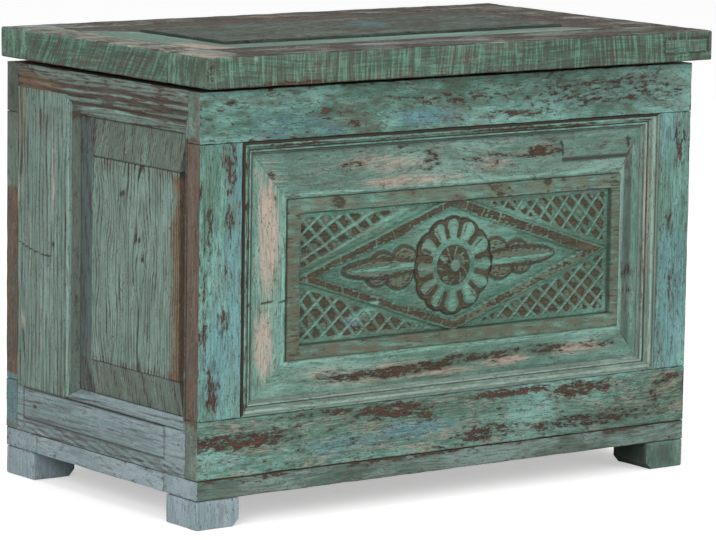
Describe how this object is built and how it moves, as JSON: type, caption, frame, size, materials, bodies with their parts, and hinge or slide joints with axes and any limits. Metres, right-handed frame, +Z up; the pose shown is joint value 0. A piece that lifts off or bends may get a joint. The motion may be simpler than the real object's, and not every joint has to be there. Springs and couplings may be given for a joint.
{
  "type": "damchiya chest",
  "caption": "Low reclaimed-wood storage chest with a hinged framed lid, a carved rosette panel in front, fielded side panels and block feet.",
  "frame": {"origin": "on the floor, under the middle of the whole chest with its lid closed, hinge barrels included", "axes": "+X to the right along the front, as seen from the front; +Y from the front to the back; +Z up"},
  "size_m": [0.776, 0.4706, 0.566],
  "materials": {
    "painted_wood": "worn teal paint over old brown wood",
    "carved_wood": "worn teal paint, rubbed to brown on the carving",
    "base_wood": "worn grey-green paint",
    "lid_wood": "weathered grey-brown wood with traces of turquoise paint",
    "plain_wood": "old sawn wood with traces of paint",
    "hinge_iron": "dark rolled iron",
    "screw_steel": "dulled steel"
  },
  "bodies": {
    "chest": {"back_bottom_rail": "plain_wood", "back_left_stile": "plain_wood", "back_panel": "plain_wood", "back_right_stile": "plain_wood", "back_top_rail": "plain_wood", "floor_board_back": "plain_wood", "floor_board_front": "plain_wood", "foot_front_left": "base_wood", "foot_front_right": "base_wood", "foot_rear_left": "base_wood", "foot_rear_right": "base_wood", "front_bottom_rail": "painted_wood", "front_carved_panel": "carved_wood", "front_left_stile": "painted_wood", "front_right_stile": "painted_wood", "front_slope_bottom": "painted_wood", "front_slope_left": "painted_wood", "front_slope_right": "painted_wood", "front_slope_top": "painted_wood", "front_step_bottom": "painted_wood", "front_step_left": "painted_wood", "front_step_right": "painted_wood", "front_step_top": "painted_wood", "front_top_rail": "painted_wood", "hinge_left_body_leaf": "hinge_iron", "hinge_left_pin": "hinge_iron", "hinge_right_body_leaf": "hinge_iron", "hinge_right_pin": "hinge_iron", "hinge_screws_body": "screw_steel", "left_side_bottom_rail": "painted_wood", "left_side_front_stile": "painted_wood", "left_side_panel": "painted_wood", "left_side_rear_stile": "painted_wood", "left_side_top_rail": "painted_wood", "plinth_back": "base_wood", "plinth_front": "base_wood", "plinth_left": "base_wood", "plinth_right": "base_wood", "right_side_bottom_rail": "painted_wood", "right_side_front_stile": "painted_wood", "right_side_panel": "painted_wood", "right_side_rear_stile": "painted_wood", "right_side_top_rail": "painted_wood"},
    "lid": {"hinge_left_lid_leaf": "hinge_iron", "hinge_right_lid_leaf": "hinge_iron", "hinge_screws_lid": "screw_steel", "lid_front_rail": "lid_wood", "lid_left_end": "lid_wood", "lid_panel": "lid_wood", "lid_rear_rail": "lid_wood", "lid_right_end": "lid_wood", "lid_slope_front": "lid_wood", "lid_slope_left": "lid_wood", "lid_slope_rear": "lid_wood", "lid_slope_right": "lid_wood"}
  },
  "joints": [
    {"name": "lid_hinge", "type": "hinge", "parent": "chest", "child": "lid", "pos_m": [0, 0.23025, 0.5255], "axis": [-1, 0, 0], "range_deg": [0, 95]}
  ]
}
